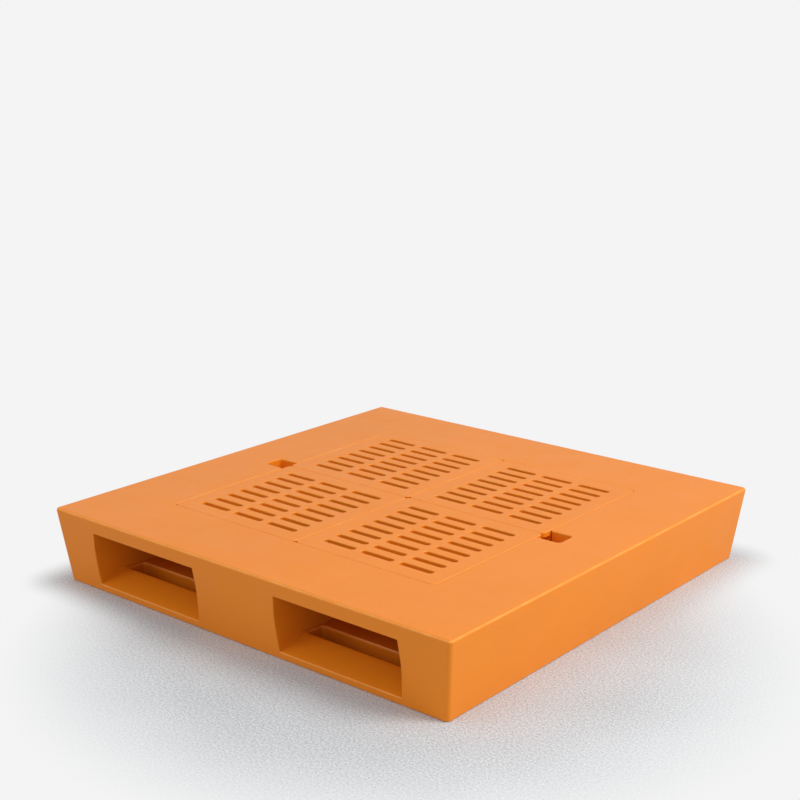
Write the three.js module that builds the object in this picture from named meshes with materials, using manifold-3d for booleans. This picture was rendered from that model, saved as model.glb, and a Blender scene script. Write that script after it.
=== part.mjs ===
// Spill containment pallet for four 200 litre drums, in millimetres, +Z up.
// The origin is on the ground, under the middle of the pallet. The fork tunnels run along Y.
//
// A hollow polyethylene body is both pallet and sump. Four lift-out grating panels close the
// opening in its deck, and three loose columns in the centre trough hold the panels' inner
// edges. A screwed plug at the rear empties the sump through a bulkhead fitting.
import * as THREE from 'three';
import { mergeVertices } from 'three/addons/utils/BufferGeometryUtils.js';
import Module from 'manifold-3d';

const wasm = await Module();
wasm.setup();

// ---------------------------------------------------------------- driving dimensions
const length = 1200; // over the top edge, along X and along Y
const height = 185;
const sideInset = 22.7; // how far each side leans in, from the top edge to the base
const wall = 7; // skin of the moulded body
const cornerRadius = 10; // upright edges of the body
const topEdgeRadius = 7;
const baseEdgeRadius = 4;

const tunnelCentre = 294.5; // middle of each fork tunnel, from the centre line
const tunnelWidth = 349; // at the mould's parting line, where the tunnel is widest
const tunnelParting = 88; // height of that line
const tunnelDraft = 0.085; // how far a wall leans in for each millimetre away from it
const tunnelRoof = 148; // underside of the roof, where the forks lift
const tunnelFloor = 40;
const sillFront = 12; // height of the tunnel floor at the mouth
const sillCrest = 506; // where the sill reaches the floor's height, from the pallet's middle
const sillArcRadius = 112; // curve of the sill from the mouth up to its crest

const slotOuter = 500; // far side of the floor slot, from the middle of the pallet
const slotInner = 455;
const slotEndLand = 12; // floor left between the slot's ends and the tunnel walls
const slotOuterShoulder = 12; // radii where the floor rolls over into the slot
const slotInnerShoulder = 6;

const deckOpening = 400; // half the width of the opening that the panels fill
const deckOpeningRadius = 12;
const deckLedge = 20; // width of the ledge under the panels' outer edges
const deckLip = 3; // rounding of the opening's upper edge
const seatHeight = tunnelRoof + wall; // the panels rest on the tunnel roofs and on the ledge

const fingerReach = 461; // outer end of the finger notch, from the centre line
const fingerWidth = 56;
const fingerRadius = 9;

const panelGap = 0.75; // from each panel's edge to its nominal place
const panelPlate = 12; // thickness of the slotted top plate
const panelEdgeRadius = 2.5;
const panelSkirt = 9; // thickness of the rim under the plate
const drainSlotLength = 92;
const drainSlotWidth = 16;
const drainSlotPitchX = 110;
const drainSlotPitchY = 42;
const drainSlotColumns = 3;
const drainSlotRows = 8;
const panelRib = 10; // ribs between the rows of slots
const fingerUndercut = 18; // height of the relief under the panel's lifting corner

const columnPitch = 200;
const columnRadius = 50;
const columnWall = 6;
const columnFlange = 64;
const columnFlangeThickness = 8;
const columnCap = 9;
const columnVent = 12; // radius of the lifting hole in the cap
const columnNotch = 14; // radius of the drain arches at the foot
const locatingRing = 67; // inner radius of the ring on the sump floor round each column

const drainHeight = 38; // axis of the drain above the ground
const drainFace = 548; // outer face of the wall that the fitting is clamped to
const drainRecessHalf = 50;
const drainRecessBase = 10;
const drainRecessTop = 78;
const drainRecessRadius = 12;
const drainHoleRadius = 20.6;
const fittingShank = 20;
const fittingBore = 17;
const fittingFlange = 26;
const plugShank = 16.6;
const plugHead = 21.5;
const plugSkin = 4; // thickness of the hollow plug's shank
const wingHalf = [19, 4.5]; // half the wing's length and thickness
const wingHeight = 11;
const locknutAcrossFlats = 52;

const touch = 0.3; // clearance between faces that rest on each other

// ---------------------------------------------------------------- values worked out from them
const lean = Math.atan(sideInset / height);
const troughHalf = tunnelCentre - tunnelWidth / 2 - wall; // open trough between the tunnels
const panelBase = seatHeight + touch;
const past = 30; // how far a cutting solid runs beyond the face it cuts
const beyondEnd = length / 2 + past;

// ---------------------------------------------------------------- solids and booleans
function toSolid(geometry) {
  const bare = geometry.clone();
  bare.deleteAttribute('normal');
  bare.deleteAttribute('uv');
  const merged = mergeVertices(bare, 1e-4);
  const index = merged.index.array;
  const kept = [];
  for (let i = 0; i < index.length; i += 3) {
    const [a, b, c] = [index[i], index[i + 1], index[i + 2]];
    if (a !== b && b !== c && c !== a) kept.push(a, b, c);
  }
  const mesh = new wasm.Mesh({
    numProp: 3,
    vertProperties: Float32Array.from(merged.attributes.position.array),
    triVerts: Uint32Array.from(kept),
  });
  return new wasm.Manifold(mesh);
}

function toGeometry(solid) {
  const mesh = solid.getMesh();
  const geometry = new THREE.BufferGeometry();
  geometry.setAttribute('position', new THREE.BufferAttribute(mesh.vertProperties, 3));
  geometry.setIndex(new THREE.BufferAttribute(mesh.triVerts, 1));
  geometry.computeVertexNormals();
  return geometry;
}

const join = (solids) => solids.reduce((all, next) => all.add(next));
const cut = (solid, tools) => tools.reduce((left, tool) => left.subtract(tool), solid);

// A rounded rectangle's outline, anticlockwise, as points round (cx, cy).
function roundedOutline(cx, cy, halfX, halfY, radius, steps) {
  const points = [];
  const corners = [[1, -1], [1, 1], [-1, 1], [-1, -1]];
  corners.forEach(([sx, sy], turn) => {
    for (let i = 0; i <= steps; i += 1) {
      const angle = (turn - 1 + i / steps) * Math.PI / 2;
      points.push(new THREE.Vector2(cx + sx * (halfX - radius) + radius * Math.cos(angle),
        cy + sy * (halfY - radius) + radius * Math.sin(angle)));
    }
  });
  return points;
}

// A solid skinned over level outlines that all have the same number of points.
function loft(levels) {
  const count = levels[0].points.length;
  const positions = [];
  const index = [];
  for (const { z, points } of levels) {
    for (const point of points) positions.push(point.x, point.y, z);
  }
  for (let level = 0; level + 1 < levels.length; level += 1) {
    for (let i = 0; i < count; i += 1) {
      const a = level * count + i;
      const b = level * count + (i + 1) % count;
      index.push(a, b, b + count, a, b + count, a + count);
    }
  }
  const top = (levels.length - 1) * count;
  for (let i = 1; i + 1 < count; i += 1) {
    index.push(0, i + 1, i);
    index.push(top, top + i, top + i + 1);
  }
  const geometry = new THREE.BufferGeometry();
  geometry.setAttribute('position', new THREE.Float32BufferAttribute(positions, 3));
  geometry.setIndex(index);
  return toSolid(geometry);
}

function level(z, cx, cy, halfX, halfY, radius, steps) {
  return { z, points: roundedOutline(cx, cy, halfX, halfY, radius, steps) };
}

function box(x0, x1, y0, y1, z0, z1) {
  const geometry = new THREE.BoxGeometry(x1 - x0, y1 - y0, z1 - z0);
  geometry.translate((x0 + x1) / 2, (y0 + y1) / 2, (z0 + z1) / 2);
  return toSolid(geometry);
}

function extrude(shape, depth, arcSteps) {
  return new THREE.ExtrudeGeometry(shape, { depth, bevelEnabled: false, curveSegments: arcSteps });
}

// The shape's own x and y become Y and Z, and it is pushed along X.
function prismX(shape, x0, x1, arcSteps = 3) {
  const turn = new THREE.Matrix4().makeBasis(
    new THREE.Vector3(0, 1, 0), new THREE.Vector3(0, 0, 1), new THREE.Vector3(1, 0, 0));
  return toSolid(extrude(shape, x1 - x0, arcSteps).applyMatrix4(turn).translate(x0, 0, 0));
}

// The shape's own x and y become X and Z, and it is pushed along Y.
function prismY(shape, y0, y1, arcSteps = 3) {
  const turn = new THREE.Matrix4().makeBasis(
    new THREE.Vector3(1, 0, 0), new THREE.Vector3(0, 0, 1), new THREE.Vector3(0, -1, 0));
  return toSolid(extrude(shape, y1 - y0, arcSteps).applyMatrix4(turn).translate(0, y1, 0));
}

// A turned solid on the Y axis. The profile is [radius, place along the axis] points.
function turned(profile, steps) {
  const points = profile.map(([radius, along]) => new THREE.Vector2(radius, along));
  return toSolid(new THREE.LatheGeometry(points, steps));
}

function turnedTube(inner, outer, y0, y1, steps) {
  return turned([[inner, y0], [outer, y0], [outer, y1], [inner, y1], [inner, y0]], steps);
}

// ---------------------------------------------------------------- the moulded body
const halfAt = (z) => {
  const edge = length / 2 - topEdgeRadius + topEdgeRadius / Math.cos(lean);
  return edge + (z - (height - topEdgeRadius)) * Math.tan(lean);
};

function outerSkin() {
  const levels = [];
  const fillet = (radius, centreZ, from, to, steps) => {
    const centre = halfAt(centreZ) - radius / Math.cos(lean);
    for (let i = 0; i <= steps; i += 1) {
      const angle = from + (to - from) * i / steps;
      const half = centre + radius * Math.cos(angle);
      const corner = cornerRadius - radius * (1 - Math.cos(angle));
      levels.push(level(centreZ + radius * Math.sin(angle), 0, 0, half, half, corner, 4));
    }
  };
  fillet(baseEdgeRadius, baseEdgeRadius, -Math.PI / 2, -lean, 3);
  fillet(topEdgeRadius, height - topEdgeRadius, -lean, Math.PI / 2, 4);
  return loft(levels);
}

// The space inside the skin, before the tunnels and recesses take their share of it.
function innerSpace() {
  const inner = (z) => {
    const half = halfAt(z) - wall / Math.cos(lean);
    return level(z, 0, 0, half, half, cornerRadius - wall, 3);
  };
  return loft([inner(wall), inner(height - wall)]);
}

// Everything under a tunnel's floor, lowered by drop. A curved sill climbs from each mouth.
function underFloor(middle, reach, drop) {
  const shape = new THREE.Shape();
  const centreZ = tunnelFloor - drop - sillArcRadius;
  const sweep = Math.acos(1 - (tunnelFloor - sillFront) / sillArcRadius);
  shape.moveTo(-beyondEnd, -past);
  shape.lineTo(beyondEnd, -past);
  shape.lineTo(beyondEnd, sillFront - drop);
  shape.absarc(sillCrest, centreZ, sillArcRadius, Math.PI / 2 - sweep, Math.PI / 2, false);
  shape.absarc(-sillCrest, centreZ, sillArcRadius, Math.PI / 2, Math.PI / 2 + sweep, false);
  shape.lineTo(-beyondEnd, sillFront - drop);
  return prismX(shape, middle - reach, middle + reach, 4);
}

const tunnelHalfAt = (z) => tunnelWidth / 2 - tunnelDraft * Math.abs(z - tunnelParting);

// The open space of a fork tunnel, from end to end.
function tunnelSpace(middle) {
  const heights = [sillFront, tunnelParting, tunnelRoof];
  const right = heights.map((z) => new THREE.Vector2(middle + tunnelHalfAt(z), z));
  const left = heights.map((z) => new THREE.Vector2(middle - tunnelHalfAt(z), z)).reverse();
  const tunnel = prismY(new THREE.Shape([...right, ...left]), -beyondEnd, beyondEnd);
  return tunnel.subtract(underFloor(middle, tunnelWidth / 2 + past, 0));
}

// That space with the plastic round it, from the floor's underside to the roof's upper face.
function tunnelSleeve(middle) {
  const reach = tunnelWidth / 2 + wall;
  const sleeve = box(middle - reach, middle + reach, -beyondEnd, beyondEnd, -past, seatHeight);
  return sleeve.subtract(underFloor(middle, reach + past, wall));
}

const atEnd = (solid, end) => (end > 0 ? solid : solid.mirror([0, 1, 0]));

// One floor slot, open to the ground. The floor rolls over into it on both sides.
function slotSpace(middle, end) {
  const half = tunnelHalfAt(tunnelFloor) - slotEndLand;
  const shape = new THREE.Shape();
  const above = tunnelFloor + past;
  const outerTop = tunnelFloor - slotOuterShoulder;
  const innerTop = tunnelFloor - slotInnerShoulder;
  shape.moveTo(slotInner, -past);
  shape.lineTo(slotOuter, -past);
  shape.absarc(slotOuter + slotOuterShoulder, outerTop, slotOuterShoulder,
    Math.PI, Math.PI / 2, true);
  shape.lineTo(slotOuter + slotOuterShoulder, above);
  shape.lineTo(slotInner - slotInnerShoulder, above);
  shape.absarc(slotInner - slotInnerShoulder, innerTop, slotInnerShoulder,
    Math.PI / 2, 0, true);
  return atEnd(prismX(shape, middle - half, middle + half, 2), end);
}

function slotSleeve(middle, end) {
  const half = tunnelHalfAt(tunnelFloor) - slotEndLand + wall;
  return atEnd(box(middle - half, middle + half, slotInner - wall, slotOuter + wall,
    -past, tunnelFloor), end);
}

function palletBody() {
  const spaces = [];
  const sleeves = [];
  for (const middle of [-tunnelCentre, tunnelCentre]) {
    spaces.push(tunnelSpace(middle), slotSpace(middle, -1), slotSpace(middle, 1));
    sleeves.push(tunnelSleeve(middle), slotSleeve(middle, -1), slotSleeve(middle, 1));
  }

  // Skin kept round the deck opening, the finger notches and the drain recess.
  const opening = deckOpening;
  const openingWalls = loft([
    level(tunnelRoof, 0, 0, opening + wall, opening + wall, deckOpeningRadius + wall, 4),
    level(height, 0, 0, opening + wall, opening + wall, deckOpeningRadius + wall, 4),
  ]);
  const notchMiddle = (opening - past + fingerReach) / 2;
  const notchHalf = (fingerReach - opening + past) / 2;
  const notchWalls = [-1, 1].map((side) => box(
    side * notchMiddle - notchHalf - wall, side * notchMiddle + notchHalf + wall,
    -fingerWidth / 2 - wall, fingerWidth / 2 + wall, tunnelRoof, height));
  const recessWalls = box(-drainRecessHalf - wall, drainRecessHalf + wall,
    drainFace - wall, beyondEnd, -past, drainRecessTop + wall);
  const hollow = cut(innerSpace(), [...sleeves, openingWalls, ...notchWalls, recessWalls]);

  // What is open on the outside.
  const trough = box(-troughHalf, troughHalf, -opening + deckLedge, opening - deckLedge,
    tunnelRoof - 1, seatHeight + 1);
  const recessOutline = roundedOutline(0, (drainRecessBase + drainRecessTop) / 2,
    drainRecessHalf, (drainRecessTop - drainRecessBase) / 2, drainRecessRadius, 4);
  const recess = prismY(new THREE.Shape(recessOutline), drainFace, beyondEnd);
  const drainHole = turned([[0, drainFace - wall - 1], [drainHoleRadius, drainFace - wall - 1],
    [drainHoleRadius, drainFace + 1], [0, drainFace + 1]], 32).translate([0, 0, drainHeight]);
  const pockets = [lippedPocket(0, 0, opening, opening, deckOpeningRadius)];
  for (const side of [-1, 1]) {
    pockets.push(lippedPocket(side * notchMiddle, 0, notchHalf, fingerWidth / 2, fingerRadius));
  }
  const body = cut(outerSkin(), [hollow, ...spaces, trough, recess, drainHole, ...pockets]);

  // Rings that keep the columns in place on the sump floor.
  const rings = [-1, 0, 1].map((place) => turnedTube(locatingRing, locatingRing + 5, -1, 5, 32)
    .rotate([90, 0, 0]).translate([0, place * columnPitch, wall]));
  return join([body, ...rings]);
}

// A pocket from the seat up through the deck, whose upper edge is rounded over.
function lippedPocket(cx, cy, halfX, halfY, radius) {
  const levels = [level(seatHeight, cx, cy, halfX, halfY, radius, 4)];
  for (const angle of [0, 30, 60, 90]) {
    const turn = angle * Math.PI / 180;
    const out = deckLip * (1 - Math.cos(turn));
    const z = height - deckLip + deckLip * Math.sin(turn);
    levels.push(level(z, cx, cy, halfX + out, halfY + out, radius + out, 4));
  }
  levels.push(level(height + past, cx, cy, halfX + deckLip, halfY + deckLip, radius + deckLip, 4));
  return loft(levels);
}

// ---------------------------------------------------------------- a lift-out deck panel
// sideX and sideY say which quarter of the opening the panel fills.
function deckPanel(sideX, sideY) {
  const middleX = sideX * deckOpening / 2;
  const middleY = sideY * deckOpening / 2;
  const half = deckOpening / 2 - panelGap;
  const radius = deckOpeningRadius;
  const levels = [level(panelBase, middleX, middleY, half, half, radius, 4)];
  for (const angle of [0, 45, 90]) {
    const turn = angle * Math.PI / 180;
    const inset = panelEdgeRadius * (1 - Math.cos(turn));
    const z = height - panelEdgeRadius + panelEdgeRadius * Math.sin(turn);
    levels.push(level(z, middleX, middleY, half - inset, half - inset, radius - inset, 4));
  }
  const tools = [];
  const underPlate = height - panelPlate;
  for (let row = 0; row < drainSlotRows; row += 1) {
    const y = middleY + (row - (drainSlotRows - 1) / 2) * drainSlotPitchY;
    for (let column = 0; column < drainSlotColumns; column += 1) {
      const x = middleX + (column - (drainSlotColumns - 1) / 2) * drainSlotPitchX;
      const slotEnds = [x, y, drainSlotLength / 2, drainSlotWidth / 2, drainSlotWidth / 2.2, 2];
      tools.push(loft([level(underPlate - 5, ...slotEnds), level(height + 5, ...slotEnds)]));
    }
    const pocketHalf = (drainSlotPitchY - panelRib) / 2;
    tools.push(box(middleX - half + panelSkirt, middleX + half - panelSkirt,
      y - pocketHalf, y + pocketHalf, panelBase - 5, underPlate));
  }
  // Relief under the corner beside the finger notch, so that a hand can lift the panel.
  const lift = [sideX * deckOpening, sideX * (deckOpening - past)].sort((a, b) => a - b);
  const across = [0, sideY * fingerWidth / 2].sort((a, b) => a - b);
  tools.push(box(lift[0], lift[1], across[0], across[1],
    panelBase - 5, seatHeight + fingerUndercut));
  return cut(loft(levels), tools);
}

// ---------------------------------------------------------------- a support column
function supportColumn(place) {
  const base = wall + touch;
  const top = seatHeight;
  const inner = columnRadius - columnWall;
  const cup = turned([
    [inner, base], [columnFlange, base], [columnFlange, base + columnFlangeThickness],
    [columnRadius, base + columnFlangeThickness], [columnRadius, top - 2],
    [columnRadius - 2, top], [columnVent, top], [columnVent, top - columnCap],
    [inner, top - columnCap], [inner, base],
  ], 32).rotate([90, 0, 0]);
  const arch = turned([[0, -columnFlange - 5], [columnNotch, -columnFlange - 5],
    [columnNotch, columnFlange + 5], [0, columnFlange + 5]], 16).translate([0, 0, base]);
  return cut(cup, [arch, arch.rotate([0, 0, 90])]).translate([0, place * columnPitch, 0]);
}

// ---------------------------------------------------------------- the drain
const onDrainAxis = (solid) => solid.translate([0, 0, drainHeight]);
const fittingGasketThickness = 2.5;
const flangeStart = drainFace + fittingGasketThickness + 2 * touch;
const flangeEnd = flangeStart + 5;
const plugGasketThickness = 2.2;
const headStart = flangeEnd + plugGasketThickness + 2 * touch;
const headEnd = headStart + 5;
const fittingInnerEnd = drainFace - wall - 14;
const locknutThickness = 8;

function drainFitting() {
  return onDrainAxis(turned([
    [fittingBore, fittingInnerEnd], [fittingShank, fittingInnerEnd],
    [fittingShank, flangeStart], [fittingFlange, flangeStart],
    [fittingFlange, flangeEnd - 1], [fittingFlange - 1, flangeEnd],
    [fittingBore + 1, flangeEnd], [fittingBore, flangeEnd - 1],
    [fittingBore, fittingInnerEnd],
  ], 32));
}

function drainFittingGasket() {
  const start = drainFace + touch;
  return onDrainAxis(turnedTube(fittingShank + touch, fittingFlange - 1, start,
    start + fittingGasketThickness, 32));
}

function hexagon(acrossFlats) {
  const shape = new THREE.Shape();
  for (let i = 0; i < 6; i += 1) {
    const angle = i * Math.PI / 3;
    const reach = acrossFlats / 2 / Math.cos(Math.PI / 6);
    const place = [reach * Math.cos(angle), reach * Math.sin(angle)];
    if (i === 0) shape.moveTo(...place);
    else shape.lineTo(...place);
  }
  return shape;
}

function drainLocknut() {
  const end = drainFace - wall - touch;
  const bore = new THREE.Path();
  bore.absarc(0, 0, fittingShank + touch, 0, Math.PI * 2, true);
  const nut = hexagon(locknutAcrossFlats);
  nut.holes.push(bore);
  return onDrainAxis(prismY(nut, end - locknutThickness, end, 12));
}

function drainPlugGasket() {
  const start = flangeEnd + touch;
  return onDrainAxis(turnedTube(plugShank + touch, plugHead - 0.5, start,
    start + plugGasketThickness, 32));
}

// A hollow screw plug. The wing across its head is turned by hand.
function drainPlug() {
  const tip = flangeEnd - 15;
  const core = turned([
    [plugShank - plugSkin, tip], [plugShank - 1, tip], [plugShank, tip + 1],
    [plugShank, headStart], [plugHead, headStart], [plugHead, headEnd - 1],
    [plugHead - 1, headEnd], [0, headEnd], [0, headStart],
    [plugShank - plugSkin, headStart], [plugShank - plugSkin, tip],
  ], 32);
  const wing = new THREE.Shape(roundedOutline(0, 0, ...wingHalf, 4, 3));
  return onDrainAxis(core.add(prismY(wing, headEnd - 1, headEnd + wingHeight)));
}

// ---------------------------------------------------------------- materials and assembly
const plastic = (color, roughness) => new THREE.MeshStandardMaterial({
  color, roughness, metalness: 0 });

const part = new THREE.Group();
part.name = 'spill_containment_pallet';

function place(name, solid, material) {
  const mesh = new THREE.Mesh(toGeometry(solid), material);
  mesh.name = name;
  part.add(mesh);
}

place('pallet_body', palletBody(), plastic(0xe9842f, 0.55));
for (const [sideY, row] of [[-1, 'front'], [1, 'rear']]) {
  for (const [sideX, hand] of [[-1, 'left'], [1, 'right']]) {
    place(`deck_panel_${row}_${hand}`, deckPanel(sideX, sideY), plastic(0xe27f2c, 0.6));
  }
}
[['front', -1], ['centre', 0], ['rear', 1]].forEach(([where, along]) => {
  place(`support_column_${where}`, supportColumn(along), plastic(0x2b2c2e, 0.65));
});
place('drain_fitting', drainFitting(), plastic(0x26272a, 0.5));
place('drain_fitting_gasket', drainFittingGasket(), plastic(0x151515, 0.85));
place('drain_locknut', drainLocknut(), plastic(0x26272a, 0.5));
place('drain_plug_gasket', drainPlugGasket(), plastic(0x151515, 0.85));
place('drain_plug', drainPlug(), plastic(0x1d1e20, 0.45));

export default part;
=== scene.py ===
# %% [markdown]
# # A spill containment pallet in moulded polyethylene
# The pallet catches what leaks from four drums. Its hollow body is the sump, two fork tunnels run
# through it, and four slotted panels lift out of its deck. The engineering model is loaded first
# as a fixed frame. Every piece made below then takes its place from it, in metres, with Z up.

# %% Load the frame
import math
from contextlib import contextmanager

import bmesh
import bpy
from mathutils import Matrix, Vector


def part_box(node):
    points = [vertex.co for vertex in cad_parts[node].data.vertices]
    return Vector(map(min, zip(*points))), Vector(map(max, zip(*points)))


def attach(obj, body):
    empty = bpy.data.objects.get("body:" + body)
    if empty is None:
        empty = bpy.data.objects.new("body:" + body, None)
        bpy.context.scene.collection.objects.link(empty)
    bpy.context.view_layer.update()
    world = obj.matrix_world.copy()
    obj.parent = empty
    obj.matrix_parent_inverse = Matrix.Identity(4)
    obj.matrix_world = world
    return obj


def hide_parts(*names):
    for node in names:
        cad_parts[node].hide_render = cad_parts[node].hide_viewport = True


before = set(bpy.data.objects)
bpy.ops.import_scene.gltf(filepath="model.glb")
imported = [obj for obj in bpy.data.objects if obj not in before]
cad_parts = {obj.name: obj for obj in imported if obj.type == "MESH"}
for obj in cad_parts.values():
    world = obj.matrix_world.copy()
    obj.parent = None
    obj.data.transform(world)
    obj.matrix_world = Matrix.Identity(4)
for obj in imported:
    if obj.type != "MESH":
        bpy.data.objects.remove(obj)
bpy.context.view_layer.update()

# %% [markdown]
# ## Camera
# The pallet is looked at from above its front right corner, about 15 degrees down, from just
# over three metres away. A camera turned by Euler angles looks along its own -Z, so a pitch of
# 90 degrees would look level and the heading turns it round Z.

# %% Camera
camera_place = (2.1568, -2.6119, 1.3380)
camera_pitch = math.radians(15.0)
camera_heading = math.radians(39.88)
bpy.ops.object.camera_add(location=camera_place,
                          rotation=(math.pi / 2 - camera_pitch, 0, camera_heading))
camera = bpy.context.object
camera.data.sensor_width = 36
camera.data.lens = 65.8
camera.data.clip_end = 600
bpy.context.scene.camera = camera
print("camera looks", tuple(round(v, 3) for v in camera.rotation_euler))

# %% [markdown]
# ## Tools for modelling
# An operator acts on whatever is selected, so each helper first leaves exactly one object
# selected. Faces and edges are chosen by a test on their place or direction, as one would click
# them by hand, and Boolean modifiers do the cutting.

# %% Selecting and editing
MM = 0.001


def alone(piece):
    bpy.ops.object.select_all(action="DESELECT")
    piece.select_set(True)
    bpy.context.view_layer.objects.active = piece
    return piece


@contextmanager
def editing(piece, mode="EDGE"):
    alone(piece)
    bpy.ops.object.mode_set(mode="EDIT")
    bpy.ops.mesh.select_mode(type=mode)
    bpy.ops.mesh.select_all(action="DESELECT")
    yield
    bpy.ops.object.mode_set(mode="OBJECT")


def pick(piece, kind, test):
    """In edit mode, selects the verts, edges or faces that pass the test and nothing else."""
    bpy.ops.mesh.select_all(action="DESELECT")
    mesh = bmesh.from_edit_mesh(piece.data)
    mesh.normal_update()
    found = [item for item in getattr(mesh, kind) if test(item)]
    for item in found:
        item.select_set(True)
    bmesh.update_edit_mesh(piece.data)
    return len(found)


def near(a, b, within=0.02 * MM):
    return abs(a - b) < within


def middle(edge):
    return (edge.verts[0].co + edge.verts[1].co) / 2


def runs_along(edge, axis):
    way = (edge.verts[1].co - edge.verts[0].co).normalized()
    return abs(way[axis]) > 0.9


def sharp(edge, degrees=32):
    return len(edge.link_faces) == 2 and edge.calc_face_angle(0) > math.radians(degrees)


# %% Blocks, modifiers and cuts
def block(name, low, high):
    """A box between two corners, its place and size applied to its mesh."""
    centre = [(a + b) / 2 for a, b in zip(low, high)]
    size = [b - a for a, b in zip(low, high)]
    bpy.ops.object.select_all(action="DESELECT")
    bpy.ops.mesh.primitive_cube_add(size=1, location=centre, scale=size)
    return named(name)


def drum(name, radius, start, end, vertices=64, centre=(0, 0), axis=2):
    """A cylinder from start to end along an axis. The centre is its other two coordinates."""
    place = list(centre)
    place.insert(axis, (start + end) / 2)
    turn = ((0, math.pi / 2, 0), (math.pi / 2, 0, 0), (0, 0, 0))[axis]
    bpy.ops.object.select_all(action="DESELECT")
    bpy.ops.mesh.primitive_cylinder_add(vertices=vertices, radius=radius, depth=end - start,
                                        location=place, rotation=turn)
    return named(name)


def named(name):
    piece = bpy.context.object
    piece.name = name
    piece.data.name = name
    bpy.ops.object.transform_apply(location=True, rotation=True, scale=True)
    return piece


def modify(piece, kind, **settings):
    """Adds a modifier with these settings and applies it."""
    alone(piece)
    bpy.ops.object.modifier_add(type=kind)
    step = piece.modifiers[-1]
    for key, value in settings.items():
        setattr(step, key, value)
    bpy.ops.object.modifier_apply(modifier=step.name)


def combine(piece, tool, operation="DIFFERENCE"):
    """Cuts or joins tool with piece. The tool is used up."""
    modify(piece, "BOOLEAN", operation=operation, solver="EXACT", object=tool)
    bpy.data.objects.remove(tool)


def copy_of(piece, name):
    alone(piece)
    bpy.ops.object.duplicate()
    twin = bpy.context.object
    twin.name = name
    twin.data.name = name
    return twin


def mirrored(piece, name, x=1, y=1):
    """A copy on the other side of the middle, with its faces turned back outwards."""
    twin = copy_of(piece, name)
    twin.scale = (x, y, 1)
    bpy.ops.object.transform_apply(location=False, rotation=False, scale=True)
    with editing(twin, "FACE"):
        bpy.ops.mesh.select_all(action="SELECT")
        bpy.ops.mesh.normals_make_consistent(inside=False)
    return twin


def round_edges(piece, radius, test, segments=4):
    with editing(piece):
        count = pick(piece, "edges", test)
        bpy.ops.mesh.bevel(offset=radius, segments=segments, profile=0.5, affect="EDGES")
    print(piece.name, "rounded edges:", count)


def soften(piece, width, segments):
    """Rounds every edge that is sharper than 40 degrees."""
    modify(piece, "BEVEL", width=width, segments=segments, limit_method="ANGLE",
           angle_limit=math.radians(40))


# Where edges are lighter: the least and the most that a face's normal may point upwards.
ALL_WAYS = (-2, 2)
# On the upper crests of the orange parts the lighter colour is a painted highlight, elsewhere it
# is wear.
HIGHLIGHT_CRESTS = (0.4, 0.88)


def mark_rounded_edges(piece, upward, widest=6 * MM):
    """Stores 1 on the narrow faces that round an outer edge, where their normals' upward part
    lies between the two values given, and 0 elsewhere."""
    mesh = bmesh.new()
    mesh.from_mesh(piece.data)
    marks = []
    for face in mesh.faces:
        longest = max(edge.calc_length() for edge in face.edges)
        outer = any(len(edge.link_faces) == 2
                    and edge.calc_face_angle_signed(0) > math.radians(9)
                    for edge in face.edges)
        rounded = (outer and face.calc_area() / longest < widest
                   and upward[0] < face.normal.z < upward[1])
        marks += [float(rounded)] * len(face.loops)
    mesh.free()
    layer = piece.data.attributes.new("rounded_edge", "FLOAT", "CORNER")
    layer.data.foreach_set("value", marks)
    return sum(marks) / len(marks)


def finish_mesh(piece, wear_and_highlight=ALL_WAYS):
    """Merges doubles, turns faces outwards, shades the rounded edges smooth and marks them."""
    with editing(piece, "VERT"):
        bpy.ops.mesh.select_all(action="SELECT")
        bpy.ops.mesh.remove_doubles(threshold=0.005 * MM)
        bpy.ops.mesh.normals_make_consistent(inside=False)
    alone(piece)
    bpy.ops.object.shade_smooth_by_angle(angle=math.radians(35))
    modify(piece, "WEIGHTED_NORMAL", weight=50, keep_sharp=True)
    share = mark_rounded_edges(piece, wear_and_highlight)
    print(piece.name, len(piece.data.polygons), "faces, share at edges", round(share, 2))


# %% [markdown]
# ## The moulded body
# On the real pallet the body is one hollow moulding with a skin about 7 mm thick, so it is made
# here as a block that is tapered, rounded, and then cut by the shapes of its hollows. The same
# function makes a fork tunnel's space and, grown by the skin's thickness, the sleeve of plastic
# round it.

# %% Sizes of the body
_, body_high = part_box("pallet_body")
top = body_high.z
wall = 7 * MM
half_length = body_high.x
side_inset = 22.7 * MM
corner_radius = 10 * MM
top_radius = 7 * MM
base_radius = 3.6 * MM
lean = math.atan(side_inset / top)
half_top = half_length - top_radius + top_radius / math.cos(lean) + top_radius * math.tan(lean)
half_base = half_top - side_inset
tunnel_centre = 294.5 * MM
tunnel_width = 349 * MM
tunnel_parting = 88 * MM
tunnel_draft = 0.085
tunnel_roof = 148 * MM
tunnel_low_edge = 5 * MM
tunnel_corner_radius = 1.5 * MM
parting_radius = 20 * MM
floor_height = 40 * MM
sill_crest = 506 * MM
sill_end = 590 * MM
sill_radius = 112 * MM
slot_middle = 477.5 * MM
slot_half_width = 22.5 * MM
slot_end_land = 12 * MM
slot_corner_radius = 7 * MM
slot_shoulder = 9 * MM
slot_roll = {"outer": 12 * MM, "inner": 6 * MM, "ends": 5 * MM}
opening_half = 400 * MM
opening_radius = 12 * MM
ledge_width = 20 * MM
seat = tunnel_roof + wall
finger_reach = 461 * MM
finger_half = 28 * MM
notch_radius, notch_mouth_radius = 9 * MM, 6 * MM
deck_lip, mouth_lip, recess_lip = 3 * MM, 2.5 * MM, 4 * MM
beyond = 30 * MM
clear = 5 * MM


def half_at(z, inset=0.0):
    """Half the body's width at a height, less an inset measured square to the side."""
    return half_base + z * math.tan(lean) - inset / math.cos(lean)


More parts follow.
